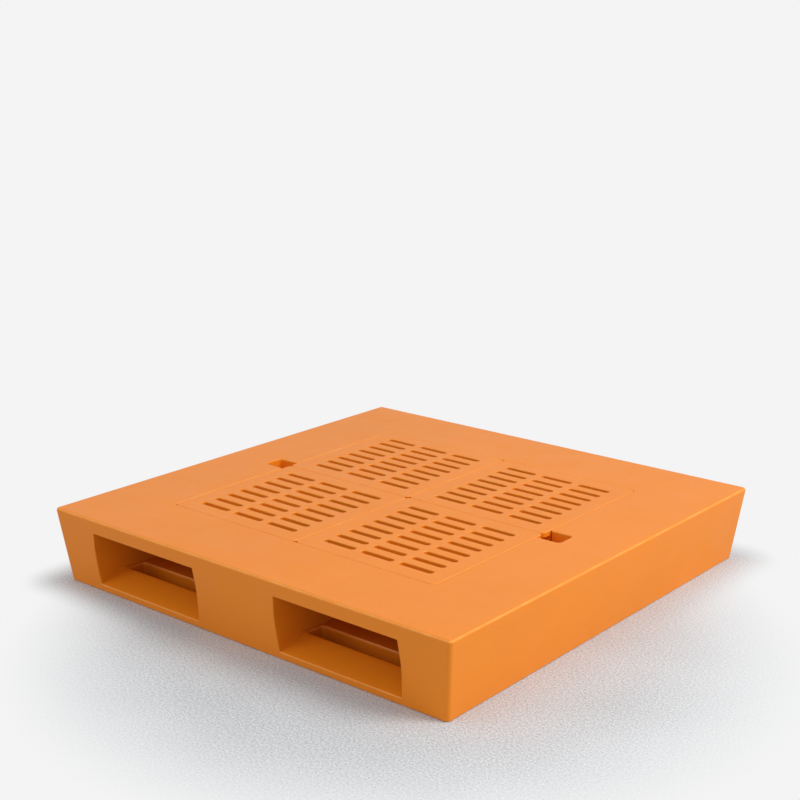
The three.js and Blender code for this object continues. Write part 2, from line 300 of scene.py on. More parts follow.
# %% A tapered block
def tapered_block(name, bottom, ceiling, inset):
    low, high = half_at(bottom, inset), half_at(ceiling, inset)
    piece = block(name, (-high, -high, bottom), (high, high, ceiling))
    with editing(piece, "FACE"):
        pick(piece, "faces", lambda face: face.normal.z < -0.9)
        bpy.ops.transform.resize(value=(low / high, low / high, 1),
                                 center_override=(0, 0, bottom))
    return piece


body = tapered_block("moulded_body", 0, top, 0)
round_edges(body, corner_radius, lambda edge: runs_along(edge, 2), 5)
top_setback = top_radius / math.tan((math.pi / 2 - lean) / 2)
round_edges(body, top_setback, lambda edge: near(middle(edge).z, top), 6)
round_edges(body, base_radius, lambda edge: near(middle(edge).z, 0), 3)
print("block", [round(value, 4) for value in body.dimensions])


# %% [markdown]
# ## Fork tunnels
# A tunnel's walls lean in above and below the parting line of the mould, so that the tool could
# be drawn out. Its floor climbs from the mouth up a curved sill, so that a fork or a wheel rides
# up it. A box is bisected at the parting line and at a row of places along the sill, and its
# corners are moved to the walls and on to the arc. The arc runs on past the face of the body,
# so that no cut falls where the mouth's lip is rounded later.

# %% The space of one tunnel
def tunnel_half_at(z):
    """Half the tunnel's width at a height."""
    return tunnel_width / 2 - tunnel_draft * abs(z - tunnel_parting)


def tunnel_space(side, grow=0.0):
    """The open space of a tunnel, or with grow the sleeve of plastic round it too."""
    centre_x = side * tunnel_centre
    reach = half_length + beyond
    sweep = math.asin((sill_end - sill_crest) / sill_radius)
    drop = sill_radius * (1 - math.cos(sweep))
    lowest = floor_height - drop
    low_half = tunnel_half_at(lowest) + grow
    piece = block("tunnel_space", (centre_x - low_half, -reach, lowest - grow),
                  (centre_x + low_half, reach, tunnel_roof + grow))

    def move_to_wall(level, height, place=None):
        """Picks the corners at a level, and at a place along Y, and moves them to the wall."""
        pick(piece, "verts", lambda vert: near(vert.co.z, level)
             and (place is None or near(vert.co.y, place)))
        factor = (tunnel_half_at(height) + grow) / low_half
        bpy.ops.transform.resize(value=(factor, 1, 1), center_override=(centre_x, 0, 0))

    with editing(piece, "VERT"):
        bpy.ops.mesh.select_all(action="SELECT")
        bpy.ops.mesh.bisect(plane_co=(0, 0, tunnel_parting), plane_no=(0, 0, 1))
        move_to_wall(tunnel_parting, tunnel_parting)
        move_to_wall(tunnel_roof + grow, tunnel_roof)
        steps = 8
        for step in range(steps + 1):
            angle = sweep * step / steps
            place = sill_crest + sill_radius * math.sin(angle)
            lift = drop - sill_radius * (1 - math.cos(angle))
            for end in (-1, 1):
                bpy.ops.mesh.select_all(action="SELECT")
                bpy.ops.mesh.bisect(plane_co=(0, end * place, 0), plane_no=(0, 1, 0))
                move_to_wall(lowest - grow, lowest + lift, end * place)
                bpy.ops.transform.translate(value=(0, 0, lift))

    def lengthwise(edge):
        return not runs_along(edge, 0) and not runs_along(edge, 2)

    round_edges(piece, tunnel_corner_radius + grow,
                lambda edge: sharp(edge, 60) and lengthwise(edge), 3)
    round_edges(piece, parting_radius,
                lambda edge: lengthwise(edge) and near(middle(edge).z, tunnel_parting), 3)
    return piece


# %% [markdown]
# ## Floor slots
# Near each mouth a slot goes right through the tunnel floor to the ground. The floor rolls over
# into it, so the cutting block is extruded upwards in small steps that grow outwards along a
# quarter of an ellipse, more on the side of the sill than on the other three.

# %% The space of one slot
slot_half_length = tunnel_half_at(floor_height) - slot_end_land


def slot_space(side, end):
    half_x = slot_half_length
    x = side * tunnel_centre
    y = end * slot_middle
    start = floor_height - slot_shoulder
    piece = block("slot_space", (x - half_x, y - slot_half_width, -beyond),
                  (x + half_x, y + slot_half_width, start))
    round_edges(piece, slot_corner_radius, lambda edge: runs_along(edge, 2), 3)
    steps = 6
    grown = {key: 0.0 for key in slot_roll}
    height = start
    with editing(piece, "FACE"):
        pick(piece, "faces", lambda face: face.normal.z > 0.9)
        for step in range(1, steps + 2):
            angle = min(step / steps, 1) * math.pi / 2
            risen = start + slot_shoulder * math.sin(angle) - height
            rise = risen if step <= steps else beyond
            before = dict(grown)
            grown = {key: size * (1 - math.cos(angle)) for key, size in slot_roll.items()}
            wide = (half_x + grown["ends"]) / (half_x + before["ends"])
            span_before = 2 * slot_half_width + before["outer"] + before["inner"]
            span = 2 * slot_half_width + grown["outer"] + grown["inner"]
            shift = end * ((grown["outer"] - grown["inner"])
                           - (before["outer"] - before["inner"])) / 2
            y += shift
            height += rise
            bpy.ops.mesh.extrude_region_move(
                TRANSFORM_OT_translate={"value": (0, shift, rise)})
            bpy.ops.transform.resize(value=(wide, span / span_before, 1),
                                     center_override=(x, y, height))
    return piece


# %% [markdown]
# ## The hollow inside
# The sump fills everything between the outer skin and the sleeves round the tunnels, slots,
# notches and drain recess. The inner block is cut by those sleeves first, and what is left of it
# is then cut out of the body.

# %% Inner hollow
hollow = tapered_block("sump_space", wall, top - wall, wall)
for side in (-1, 1):
    combine(hollow, tunnel_space(side, wall))
    for end in (-1, 1):
        half_x, half_y = slot_half_length + wall, slot_half_width + wall
        x, y = side * tunnel_centre, end * slot_middle
        combine(hollow, block("slot_sleeve", (x - half_x, y - half_y, 0),
                              (x + half_x, y + half_y, floor_height)))
    notch_low = min(side * opening_half, side * (finger_reach + wall))
    notch_high = max(side * opening_half, side * (finger_reach + wall))
    combine(hollow, block("notch_sleeve", (notch_low, -finger_half - wall, tunnel_roof),
                          (notch_high, finger_half + wall, top)))
sleeve_half = opening_half + wall
combine(hollow, block("opening_sleeve", (-sleeve_half, -sleeve_half, tunnel_roof),
                      (sleeve_half, sleeve_half, top)))
recess_half = 50 * MM
recess_face = 548 * MM
recess_low, recess_high = 10 * MM, 78 * MM
combine(hollow, block("recess_sleeve", (-recess_half - wall, recess_face - wall, 0),
                      (recess_half + wall, half_top, recess_high + wall)))
print("sump space", len(hollow.data.polygons), "faces")

# %% Cut the hollow, the tunnels and the slots out of the body
combine(body, hollow)
for side in (-1, 1):
    combine(body, tunnel_space(side))
    for end in (-1, 1):
        combine(body, slot_space(side, end))
print("body", len(body.data.polygons), "faces")

# %% [markdown]
# ## The deck opening
# Four panels drop into a square opening, whose ledge is level with the tunnel roofs. A notch on
# each side lets fingers in under the panels' corners. Where the cuts meet, the upright corners
# are rounded, and then the whole upper edge is rolled over in one go.

# %% Opening, trough and finger notches
opening = block("opening", (-opening_half, -opening_half, seat),
                (opening_half, opening_half, top + beyond))
round_edges(opening, opening_radius, lambda edge: runs_along(edge, 2), 5)
for side in (-1, 1):
    inside, outside = side * (opening_half - beyond), side * finger_reach
    notch = block("notch", (min(inside, outside), -finger_half, seat),
                  (max(inside, outside), finger_half, top + beyond))
    round_edges(notch, notch_radius, lambda edge: runs_along(edge, 2)
                and near(middle(edge).x, outside), 5)
    combine(opening, notch, "UNION")
round_edges(opening, notch_mouth_radius, lambda edge: runs_along(edge, 2) and sharp(edge, 60)
            and near(abs(middle(edge).x), opening_half)
            and near(abs(middle(edge).y), finger_half), 4)
combine(body, opening)
trough_half = tunnel_centre - tunnel_width / 2 - wall
ledge_half = opening_half - ledge_width
combine(body, block("trough", (-trough_half, -ledge_half, tunnel_roof - MM),
                    (trough_half, ledge_half, seat + MM)))

# %% Drain recess and the hole for the fitting
drain_axis = (0, 38 * MM)
recess_radius, hole_radius = 12 * MM, 20.6 * MM
recess = block("recess", (-recess_half, recess_face, recess_low),
               (recess_half, half_top + beyond, recess_high))
round_edges(recess, recess_radius, lambda edge: runs_along(edge, 1), 5)
combine(body, recess)
combine(body, drum("hole", hole_radius, recess_face - 2 * wall, recess_face + wall, 48,
                   drain_axis, 1))

# %% [markdown]
# ## Rounded edges of the body
# A moulding has no sharp edges, because plastic can't fill them. Each loop of sharp edges is
# selected by the region that it lies in and bevelled with the radius it has on the real thing.

# %% Round the edges that the cuts left
def on_side(point):
    """True on the leaning front or rear face."""
    return near(abs(point.y), half_at(point.z), 0.3 * MM)


def at_mouth(point):
    across = abs(abs(point.x) - tunnel_centre) < tunnel_width / 2 + MM
    return across and tunnel_low_edge < point.z < tunnel_roof + MM and on_side(point)


def at_recess(point):
    inside = abs(point.x) < recess_half + MM and recess_low - MM < point.z < recess_high + MM
    return inside and point.y > 0 and on_side(point)


def at_deck(point):
    inside = abs(point.x) < finger_reach + MM and abs(point.y) < opening_half + MM
    return inside and near(point.z, top)


def all_ends(place):
    return lambda edge: sharp(edge) and all(place(vert.co) for vert in edge.verts)


round_edges(body, deck_lip, all_ends(at_deck), 4)
round_edges(body, mouth_lip, all_ends(at_mouth), 4)
round_edges(body, recess_lip, all_ends(at_recess), 4)

# %% Rings that hold the columns in place
column_pitch = 200 * MM
ring_radius, ring_width, ring_height, ring_depth = 72 * MM, 5 * MM, 5 * MM, 7 * MM
for place in (-1, 0, 1):
    ring = drum("ring", ring_radius, wall / 2, wall + ring_height, 64,
                (0, place * column_pitch))
    with editing(ring, "FACE"):
        pick(ring, "faces", lambda face: face.normal.z > 0.9)
        bpy.ops.mesh.inset(thickness=ring_width)
        bpy.ops.mesh.extrude_region_move(
            TRANSFORM_OT_translate={"value": (0, 0, -ring_depth)})
    combine(body, ring, "UNION")
# The body's edge crests that face upwards get a lighter colour as a painted highlight.
finish_mesh(body, wear_and_highlight=HIGHLIGHT_CRESTS)
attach(body, "root")
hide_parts("pallet_body")

# %% [markdown]
# ## Deck panels
# The four panels are the same moulding in two hands: a plate with rows of drain slots, ribs
# under it between the rows, and a relief under the corner that is lifted. One panel is modelled
# and the others are mirrored copies of it.

# %% Front right panel
panel_low, panel_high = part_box("deck_panel_front_right")
plate_thickness, skirt = 12 * MM, 9 * MM
plate_under = panel_high.z - plate_thickness
pocket_half_width = 16 * MM
relief_height = 18 * MM
panel_lip = 2.2 * MM
panel_middle = (panel_low + panel_high) / 2
slot_pitch = (110 * MM, 42 * MM)
slot_half = (46 * MM, 8 * MM)
slot_count = (3, 8)
slot_end_radius, pocket_radius = 7.6 * MM, 4 * MM
panel = block("deck_front_right", panel_low, panel_high)
round_edges(panel, opening_radius, lambda edge: runs_along(edge, 2), 6)


def grid_cutter(name, half, low_z, high_z, rounding, count):
    """Blocks with rounded corners in rows and columns about the panel's middle."""
    first = [panel_middle[k] - (count[k] - 1) / 2 * slot_pitch[k] for k in (0, 1)]
    tool = block(name, (first[0] - half[0], first[1] - half[1], low_z),
                 (first[0] + half[0], first[1] + half[1], high_z))
    round_edges(tool, rounding, lambda edge: runs_along(edge, 2), 6)
    for k in (0, 1):
        step = [0, 0, 0]
        step[k] = slot_pitch[k]
        modify(tool, "ARRAY", count=count[k], use_relative_offset=False,
               use_constant_offset=True, constant_offset_displace=step)
    return tool


panel_half = (panel_high.x - panel_low.x) / 2
combine(panel, grid_cutter("slots", slot_half, plate_under - clear, top + clear,
                           slot_end_radius, slot_count))
combine(panel, grid_cutter("pockets", (panel_half - skirt, pocket_half_width),
                           panel_low.z - clear, plate_under, pocket_radius,
                           (1, slot_count[1])))
combine(panel, block("relief", (opening_half - beyond, -finger_half, panel_low.z - clear),
                     (opening_half + beyond, beyond, seat + relief_height)))
round_edges(panel, panel_lip, lambda edge: sharp(edge)
            and near(middle(edge).z, panel_high.z) and not runs_along(edge, 2), 4)

# %% Mirror the other three panels and finish all four
panels = {
    "front_right": panel,
    "front_left": mirrored(panel, "deck_front_left", x=-1),
    "rear_right": mirrored(panel, "deck_rear_right", y=-1),
    "rear_left": mirrored(panel, "deck_rear_left", x=-1, y=-1),
}
for place, piece in panels.items():
    # The panels' edge crests that face upwards get a lighter colour as a painted highlight.
    finish_mesh(piece, wear_and_highlight=HIGHLIGHT_CRESTS)
    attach(piece, place + "_panel")
    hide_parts("deck_panel_" + place)
print("panels", sorted(panels))

# %% [markdown]
# ## Support columns
# Three cups stand upside down on the sump floor and carry the inner edges of the panels. A
# cylinder is inset and extruded into a flange and a tube, and hollowed from below the same way.
# Its edges are rounded, and then arches are cut through its foot so that liquid runs freely.

# %% One column and its copies
column_low, column_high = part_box("support_column_front")
column_centre = (column_low + column_high) / 2
column_height = column_high.z - column_low.z
foot_radius, tube_radius, tube_wall = 63.5 * MM, 49.8 * MM, 6 * MM
foot_thickness, cap_thickness = 8 * MM, 9 * MM
vent_radius, arch_radius = 12 * MM, 14 * MM
column = drum("column_front", foot_radius, column_low.z, column_low.z + foot_thickness, 64,
              (column_centre.x, column_centre.y))
with editing(column, "FACE"):
    pick(column, "faces", lambda face: face.normal.z > 0.9)
    bpy.ops.mesh.inset(thickness=foot_radius - tube_radius)
    bpy.ops.mesh.extrude_region_move(TRANSFORM_OT_translate={
        "value": (0, 0, column_height - foot_thickness)})
    pick(column, "faces", lambda face: face.normal.z < -0.9)
    bpy.ops.mesh.inset(thickness=foot_radius - tube_radius + tube_wall)
    bpy.ops.mesh.extrude_region_move(TRANSFORM_OT_translate={
        "value": (0, 0, column_height - cap_thickness)})
combine(column, drum("vent", vent_radius, column_high.z - 2 * cap_thickness,
                     column_high.z + clear, 32, (column_centre.x, column_centre.y)))
soften(column, 1.2 * MM, 3)
arch_reach = foot_radius + clear
arch_height = column_low.z - 0.1 * MM
combine(column, drum("arch", arch_radius, column_centre.y - arch_reach,
                     column_centre.y + arch_reach, 32, (0, arch_height), 1))
combine(column, drum("cross_arch", arch_radius, -arch_reach, arch_reach, 32,
                     (column_centre.y, arch_height), 0))
finish_mesh(column)
columns = {"front": column}
for step, place in enumerate(("centre", "rear"), start=1):
    columns[place] = copy_of(column, "column_" + place)
    columns[place].location.y += step * column_pitch
    bpy.ops.object.transform_apply(location=True, rotation=False, scale=False)
for place, piece in columns.items():
    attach(piece, "root")
    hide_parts("support_column_" + place)
print("columns", sorted(columns))

# %% [markdown]
# ## The drain
# A flanged fitting goes through the recess wall and is clamped from inside by a locknut, with a
# gasket under its flange. A hollow plug with a wing grip screws into it. All five are turned
# parts on one axis, so each starts as a cylinder along Y.

# %% Turned pieces on the drain's axis
shank_radius, fitting_bore, flange_radius, flange_thickness = 20 * MM, 17 * MM, 26 * MM, 5 * MM
shank_hole, fitting_gasket_radius = 20.3 * MM, 25 * MM
plug_gasket_bore, plug_gasket_radius = 16.9 * MM, 21 * MM
plug_bore, plug_radius, head_radius = 12.6 * MM, 15.5 * MM, 21.5 * MM


def on_axis(name, radius, start, end, vertices=64):
    return drum(name, radius, start, end, vertices, drain_axis, 1)


def bored(piece, radius, start, end):
    """Cuts a bore along the drain's axis, a little past both ends of the piece."""
    combine(piece, on_axis("bore", radius, start - MM, end + MM))
    return piece


def y_span(node):
    low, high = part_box(node)
    return low.y, high.y


fitting_start, fitting_end = y_span("drain_fitting")
flange_start = fitting_end - flange_thickness
fitting = on_axis("drain_body", shank_radius, fitting_start, fitting_end - MM)
combine(fitting, on_axis("flange", flange_radius, flange_start, fitting_end), "UNION")
bored(fitting, fitting_bore, fitting_start, fitting_end)
soften(fitting, 0.9 * MM, 3)
finish_mesh(fitting)

span = y_span("drain_fitting_gasket")
body_gasket = bored(on_axis("drain_body_gasket", fitting_gasket_radius, *span),
                    shank_hole, *span)
span = y_span("drain_plug_gasket")
plug_gasket = bored(on_axis("plug_gasket", plug_gasket_radius, *span),
                    plug_gasket_bore, *span)
for piece in (body_gasket, plug_gasket):
    soften(piece, 0.7 * MM, 4)
    finish_mesh(piece)

# %% Locknut
nut_start, nut_end = y_span("drain_locknut")
nut_flat = 26 * MM
locknut = on_axis("locknut", nut_flat / math.cos(math.pi / 6), nut_start, nut_end, 6)
with editing(locknut, "FACE"):
    bpy.ops.mesh.select_all(action="SELECT")
    bpy.ops.transform.rotate(value=math.pi / 6, orient_axis="Y",
                             center_override=(0, (nut_start + nut_end) / 2, drain_axis[1]))
bored(locknut, shank_hole, nut_start, nut_end)
soften(locknut, 0.8 * MM, 2)
finish_mesh(locknut)

# %% Plug with its wing and thread
plug_start, plug_end = y_span("drain_plug")
head_start = plug_end - 16 * MM
head_end = plug_end - 11 * MM
wing_half = (19 * MM, 4.5 * MM)
thread_pitch, thread_radius = 2.309 * MM, 15.45 * MM
thread_ridge, thread_lead = 1.15 * MM, 1.6 * MM
plug = bored(on_axis("screw_plug", plug_radius, plug_start, head_start + MM),
             plug_bore, plug_start, head_start + MM)
head = on_axis("head", head_radius, head_start, head_end)
round_edges(head, 1 * MM, lambda edge: sharp(edge) and middle(edge).y > head_start + MM, 3)
combine(plug, head, "UNION")
wing = block("wing", (-wing_half[0], head_end - MM, drain_axis[1] - wing_half[1]),
             (wing_half[0], plug_end, drain_axis[1] + wing_half[1]))
with editing(wing, "FACE"):
    pick(wing, "faces", lambda face: face.normal.y > 0.9)
    bpy.ops.transform.resize(value=(0.9, 1, 0.62),
                             center_override=(0, plug_end, drain_axis[1]))
round_edges(wing, 2 * MM, lambda edge: middle(edge).y > head_end, 4)
combine(plug, wing, "UNION")

# %% Thread as a screwed triangle
bpy.ops.object.select_all(action="DESELECT")
bpy.ops.mesh.primitive_circle_add(vertices=3, radius=thread_ridge, fill_type="NOTHING",
                                  location=(thread_radius, plug_start + thread_lead, 0),
                                  rotation=(0, 0, -math.pi / 2))
thread = named("thread")
modify(thread, "SCREW", axis="Y", angle=2 * math.pi, screw_offset=thread_pitch, iterations=5,
       steps=48, render_steps=48, use_merge_vertices=False)
with editing(thread, "EDGE"):
    ends = pick(thread, "edges", lambda edge: len(edge.link_faces) == 1)
    bpy.ops.mesh.edge_face_add()
    bpy.ops.mesh.select_all(action="SELECT")
    bpy.ops.mesh.normals_make_consistent(inside=False)
thread.location.z = drain_axis[1]
alone(thread)
bpy.ops.object.transform_apply(location=True, rotation=False, scale=False)
combine(plug, thread, "UNION")
finish_mesh(plug)
print("thread ends closed", ends)

# %% Ride the drain pieces and hide their parts in the frame
drain_pieces = [
    (fitting, "root", "black_polypropylene", "drain_fitting"),
    (locknut, "root", "black_polypropylene", "drain_locknut"),
    (body_gasket, "root", "black_rubber", "drain_fitting_gasket"),
    (plug_gasket, "plug_gasket", "black_rubber", "drain_plug_gasket"),
    (plug, "plug", "black_polypropylene", "drain_plug"),
]
for piece, rider, finish_slot, node in drain_pieces:
    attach(piece, rider)
    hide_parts(node)

# %% [markdown]
# ## Floor and light
# The pallet stands on a large pale floor. One broad soft lamp high on the right models its
# sides, a weak one on the left lifts the front, and an even white surround fills the shadows, as
# in a studio. The surround shows a brighter white than it lights with, so that the backdrop
# stays clean.

# %% Floor
bpy.ops.object.select_all(action="DESELECT")
bpy.ops.mesh.primitive_plane_add(size=400, location=(0, 0, 0))
floor = bpy.context.object
floor.name = "floor"

# %% Lamps
lamp_target = Vector((0, 0, 0.1))


def soft_lamp(name, place, size, power):
    way = lamp_target - Vector(place)
    bpy.ops.object.select_all(action="DESELECT")
    bpy.ops.object.light_add(type="AREA", location=place,
                             rotation=way.to_track_quat("-Z", "Y").to_euler())
    lamp = bpy.context.object
    lamp.name = name
    lamp.data.shape = "DISK"
    lamp.data.size = size
    lamp.data.energy = power
    return lamp


key_lamp = soft_lamp("key_lamp", (4.0, 0.9, 3.3), size=2.2, power=150)
fill_lamp = soft_lamp("fill_lamp", (-2.2, -3.4, 1.9), size=1.6, power=15)

# %% White surround
backdrop_white = (0.905, 0.905, 0.905, 1)
surround = bpy.data.worlds.new("surround")
surround.use_nodes = True
tree = surround.node_tree
lighting = tree.nodes["Background"]
lighting.inputs["Color"].default_value = (0.97, 0.985, 1.0, 1)
lighting.inputs["Strength"].default_value = 0.77
shown = tree.nodes.new("ShaderNodeBackground")
shown.inputs["Color"].default_value = backdrop_white
seen_directly = tree.nodes.new("ShaderNodeLightPath")
choice = tree.nodes.new("ShaderNodeMixShader")
tree.links.new(seen_directly.outputs["Is Camera Ray"], choice.inputs[0])
tree.links.new(lighting.outputs[0], choice.inputs[1])
tree.links.new(shown.outputs[0], choice.inputs[2])
tree.links.new(choice.outputs[0], tree.nodes["World Output"].inputs["Surface"])
bpy.context.scene.world = surround
bpy.context.scene.view_settings.view_transform = "Standard"
print("lit by", key_lamp.name, fill_lamp.name, "and", surround.name)

# %% [markdown]
# ## Effects that the finishes share
# Every moulded surface has the same four effects: a pebbled grain left by the mould, slow drifts
# of tone, patches that are a little glossier, and lighter patches along the rounded edges, which
# are scuffs on the black parts and a painted highlight on the upward crests of the orange parts.
# Each one is a node group, built once, so a finish only says how strong it is. All of them read
# Object coordinates, in metres, so a pattern stays fixed to its piece when the piece moves.

# %% Building node groups
NUMBER = "NodeSocketFloat"
COLOUR = "NodeSocketColor"


def new_group(name, inputs, output, kind=NUMBER):
    """A group with these inputs and one output. Returns it with a maker of linked nodes."""
    group = bpy.data.node_groups.new(name, "ShaderNodeTree")
    for label, (socket, value) in inputs.items():
        made = group.interface.new_socket(name=label, in_out="INPUT", socket_type=socket)
        made.default_value = value
    group.interface.new_socket(name=output, in_out="OUTPUT", socket_type=kind)
    return group, node_maker(group)


def node_maker(tree):
    """Returns a function that adds a node, sets its options and links or fills its inputs."""
    def make(kind, links=None, **options):
        node = tree.nodes.new(kind)
        for key, value in options.items():
            setattr(node, key, value)
        for key, value in (links or {}).items():
            if isinstance(value, bpy.types.NodeSocket):
                tree.links.new(value, node.inputs[key])
            else:
                node.inputs[key].default_value = value
        return node
    return make


# %% Pebbled grain
grain_group, make = new_group("moulded_grain", {"Pebbles per metre": (NUMBER, 700)}, "Height")
entry = make("NodeGroupInput")
place = make("ShaderNodeTexCoord")
pebbles = make("ShaderNodeTexVoronoi", {"Vector": place.outputs["Object"],
                                        "Scale": entry.outputs["Pebbles per metre"],
                                        "Smoothness": 0.6}, feature="SMOOTH_F1")
fine_scale = make("ShaderNodeMath", {0: entry.outputs["Pebbles per metre"], 1: 0.45},
                  operation="MULTIPLY")
lumps = make("ShaderNodeTexNoise", {"Vector": place.outputs["Object"],
                                    "Scale": fine_scale.outputs[0], "Detail": 3.0,
                                    "Roughness": 0.6})
mixed = make("ShaderNodeMix", {0: 0.45, 2: pebbles.outputs["Distance"],
                               3: lumps.outputs["Fac"]}, data_type="FLOAT")
make("NodeGroupOutput", {"Height": mixed.outputs[0]})
print(grain_group.name, "nodes", len(grain_group.nodes))

# %% Drifts of tone
drift_group, make = new_group("tone_drift", {"Color": (COLOUR, (0.5, 0.5, 0.5, 1)),
                                             "Drift": (NUMBER, 0.06),
                                             "Speckle": (NUMBER, 0.05),
                                             "Specks per metre": (NUMBER, 420)},
                              "Color", COLOUR)
entry = make("NodeGroupInput")
place = make("ShaderNodeTexCoord")
clouds = make("ShaderNodeTexNoise", {"Vector": place.outputs["Object"], "Scale": 4.0,
                                     "Detail": 4.0, "Roughness": 0.55})
specks = make("ShaderNodeTexNoise", {"Vector": place.outputs["Object"],
                                     "Scale": entry.outputs["Specks per metre"],
                                     "Detail": 2.0, "Roughness": 0.7})
parts = []
for source, strength in ((clouds, "Drift"), (specks, "Speckle")):
    centred = make("ShaderNodeMath", {0: source.outputs["Fac"], 1: 0.5}, operation="SUBTRACT")
    parts.append(make("ShaderNodeMath", {0: centred.outputs[0], 1: entry.outputs[strength]},
                      operation="MULTIPLY"))
both = make("ShaderNodeMath", {0: parts[0].outputs[0], 1: parts[1].outputs[0]}, operation="ADD")
brightness = make("ShaderNodeMath", {0: both.outputs[0], 1: 2.0, 2: 1.0},
                  operation="MULTIPLY_ADD")
toned = make("ShaderNodeHueSaturation", {"Color": entry.outputs["Color"],
                                         "Value": brightness.outputs[0]})
make("NodeGroupOutput", {"Color": toned.outputs["Color"]})
print(drift_group.name, "nodes", len(drift_group.nodes))

# %% Scuffs and painted highlights along rounded edges
scuff_and_highlight_group, make = new_group("edge_scuff_and_highlight", {"Patch size": (NUMBER, 26.0),
                                             "Amount": (NUMBER, 0.5)}, "Mask")
entry = make("NodeGroupInput")
place = make("ShaderNodeTexCoord")
# The mask lightens the rounded edges: scuffs on the black parts, a painted highlight on the
# orange parts' upward crests.
edges = make("ShaderNodeAttribute", attribute_type="GEOMETRY", attribute_name="rounded_edge")
patches = make("ShaderNodeTexNoise", {"Vector": place.outputs["Object"],
                                      "Scale": entry.outputs["Patch size"], "Detail": 6.0,
                                      "Roughness": 0.7})
broken = make("ShaderNodeMapRange", {"Value": patches.outputs["Fac"], "From Min": 0.22,
                                     "From Max": 0.72})
on_edges = make("ShaderNodeMath", {0: broken.outputs[0], 1: edges.outputs["Fac"]},
                operation="MULTIPLY")
amount = make("ShaderNodeMath", {0: on_edges.outputs[0], 1: entry.outputs["Amount"]},
              operation="MULTIPLY")
make("NodeGroupOutput", {"Mask": amount.outputs[0]})
print(scuff_and_highlight_group.name, "nodes", len(scuff_and_highlight_group.nodes))

# %% Glossier and duller patches
gloss_group, make = new_group("gloss_patches", {"Lowest": (NUMBER, 0.4),
                                                "Highest": (NUMBER, 0.6)}, "Roughness")
entry = make("NodeGroupInput")
place = make("ShaderNodeTexCoord")
handling = make("ShaderNodeTexNoise", {"Vector": place.outputs["Object"], "Scale": 11.0,
                                       "Detail": 5.0, "Roughness": 0.65})
spread = make("ShaderNodeMapRange", {"Value": handling.outputs["Fac"], "From Min": 0.3,
                                     "From Max": 0.7, "To Min": entry.outputs["Lowest"],
                                     "To Max": entry.outputs["Highest"]})
make("NodeGroupOutput", {"Roughness": spread.outputs[0]})
print(gloss_group.name, "nodes", len(gloss_group.nodes))

# %% [markdown]
# ## Moulded plastics and rubber
# Polyethylene that is moulded by turning a heated mould has its colour all through, a fine
# pebbled skin, and long shallow waves where the wall cooled unevenly. One function builds all
# the finishes, because orange polyethylene, black polyethylene, polypropylene and rubber differ
# only in their values.

# %% One moulded finish
def moulded_finish(name, colour, wear_and_highlight_colour, gloss, pebbles, grain_depth, wave_depth,
                   scuffs_and_highlights, specular):
    material = bpy.data.materials.new(name)
    material.use_nodes = True
    tree = material.node_tree
    make = node_maker(tree)
    shader = tree.nodes["Principled BSDF"]
    shader.inputs["Specular IOR Level"].default_value = specular

    tone = make("ShaderNodeGroup", {}, node_tree=drift_group)
    tone.inputs["Color"].default_value = (*colour, 1)
    # The mask blends a lighter colour into the rounded edges: wear on the black parts, a painted
    # highlight on the orange parts.
    scuff_and_highlight = make("ShaderNodeGroup", {}, node_tree=scuff_and_highlight_group)
    scuff_and_highlight.inputs["Amount"].default_value = scuffs_and_highlights
    wear_and_highlight = make("ShaderNodeMix", {0: scuff_and_highlight.outputs["Mask"], 6: tone.outputs["Color"],
                                  7: (*wear_and_highlight_colour, 1)}, data_type="RGBA")
    tree.links.new(wear_and_highlight.outputs[2], shader.inputs["Base Color"])

    patches = make("ShaderNodeGroup", {}, node_tree=gloss_group)
    patches.inputs["Lowest"].default_value = gloss[0]
    patches.inputs["Highest"].default_value = gloss[1]
    dulled = make("ShaderNodeMath", {0: scuff_and_highlight.outputs["Mask"], 1: 0.2,
                                     2: patches.outputs["Roughness"]},
                  operation="MULTIPLY_ADD", use_clamp=True)
    tree.links.new(dulled.outputs[0], shader.inputs["Roughness"])

    place = make("ShaderNodeTexCoord")
    waves = make("ShaderNodeTexNoise", {"Vector": place.outputs["Object"], "Scale": 14.0,
                                        "Detail": 2.0, "Roughness": 0.4})
    wavy = make("ShaderNodeBump", {"Height": waves.outputs["Fac"], "Strength": 1.0,
                                   "Distance": wave_depth})
    grain = make("ShaderNodeGroup", {}, node_tree=grain_group)
    grain.inputs["Pebbles per metre"].default_value = pebbles
    pebbled = make("ShaderNodeBump", {"Height": grain.outputs["Height"], "Strength": 1.0,
                                      "Distance": grain_depth, "Normal": wavy.outputs[0]})
    tree.links.new(pebbled.outputs[0], shader.inputs["Normal"])
    print(name, "nodes", len(tree.nodes))
    return material


def give(finish, *pieces):
    for piece in pieces:
        piece.data.materials.clear()
        piece.data.materials.append(finish)


# %% Orange polyethylene of the body and panels
# The lighter edge colour on the body and panels is a painted highlight along their upward crests,
# the top edges and the sill lips.
orange_polyethylene = moulded_finish(
    "orange_polyethylene", colour=(0.80, 0.228, 0.009), wear_and_highlight_colour=(0.92, 0.43, 0.12),
    gloss=(0.36, 0.46), pebbles=620, grain_depth=0.10 * MM, wave_depth=0.5 * MM,
    scuffs_and_highlights=0.7, specular=0.28)
give(orange_polyethylene, body, *panels.values())

# %% Black polyethylene of the columns
black_polyethylene = moulded_finish(
    "black_polyethylene", colour=(0.022, 0.022, 0.024), wear_and_highlight_colour=(0.09, 0.09, 0.09),
    gloss=(0.5, 0.66), pebbles=620, grain_depth=0.14 * MM, wave_depth=0.4 * MM,
    scuffs_and_highlights=0.5, specular=0.5)
give(black_polyethylene, *columns.values())

